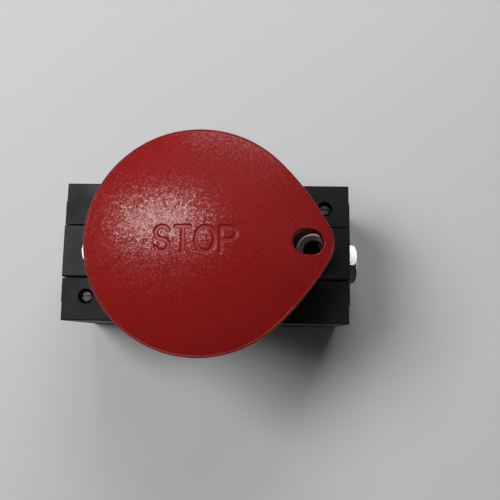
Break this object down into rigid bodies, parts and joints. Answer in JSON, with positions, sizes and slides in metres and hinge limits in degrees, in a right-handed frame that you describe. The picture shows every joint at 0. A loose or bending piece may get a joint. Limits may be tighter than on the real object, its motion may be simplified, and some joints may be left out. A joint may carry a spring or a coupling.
{
  "type": "emergency stop switch",
  "caption": "Surface-mounted emergency stop switch with a hinged red palm plate, padlock slot and post, terminal covers, cable gland and opening contacts.",
  "frame": {"origin": "middle of the mounting face, on the line between the two fixing bushes", "axes": "+Z away from the mounting face towards the plate; +X along the housing to the plate's tip and the cable gland; +Y to the north terminal cover"},
  "size_m": [0.0898, 0.06, 0.064],
  "materials": {
    "black_moulding": "moulded, fine satin",
    "red_moulding": "spark-eroded texture, semi-matt",
    "zinc_steel": "zinc plated",
    "dark_steel": "blackened",
    "bush_steel": "turned, bright zinc",
    "nickel": "nickel plated brass",
    "brass": "turned",
    "contact_brass": "stamped",
    "contact_silver": "bright",
    "spring_steel": "drawn wire and ground bar",
    "rubber_black": "matt",
    "pale_moulding": "moulded, natural"
  },
  "bodies": {
    "housing": {"base_housing": "black_moulding", "terminal_cover_north": "black_moulding", "terminal_cover_south": "black_moulding", "cover_screws": "dark_steel", "bottom_plate": "black_moulding", "bottom_seal": "rubber_black", "bottom_screws": "zinc_steel", "mounting_bush": "bush_steel", "lock_post": "bush_steel", "gland_body": "nickel", "gland_locknut": "nickel", "gland_seal": "rubber_black", "gland_nut": "nickel", "guide_bush": "brass", "wiper_seal": "rubber_black", "latch_clip": "spring_steel", "fixed_contacts_north": "contact_brass", "fixed_contacts_south": "contact_brass", "fixed_contact_tips": "contact_silver", "terminal_clamps": "zinc_steel", "terminal_screws": "zinc_steel", "hinge_pin": "spring_steel", "hinge_clips": "spring_steel", "return_spring": "spring_steel"},
    "plate_lever": {"lever_arm": "black_moulding", "stop_plate": "red_moulding", "plate_screws": "zinc_steel"},
    "plunger_carriage": {"plunger": "spring_steel", "plunger_cap": "pale_moulding", "crossbar": "pale_moulding", "crossbar_clip": "spring_steel", "contact_bridge_north": "contact_brass", "contact_bridge_south": "contact_brass", "bridge_contact_tips": "contact_silver", "contact_springs": "spring_steel"}
  },
  "joints": [
    {"name": "plate_hinge", "type": "hinge", "parent": "housing", "child": "plate_lever", "pos_m": [-0.022, 0, 0.0445], "axis": [0, 1, 0], "range_deg": [0, 6.6]},
    {"name": "plunger_slide", "type": "slide", "parent": "housing", "child": "plunger_carriage", "axis": [0, 0, -1], "range_m": [0, 0.0031], "deforming": ["return_spring"]}
  ],
  "couplings": [
    {"joint": "plunger_slide", "follows": "plate_hinge", "m_per_rad": 0.026}
  ]
}
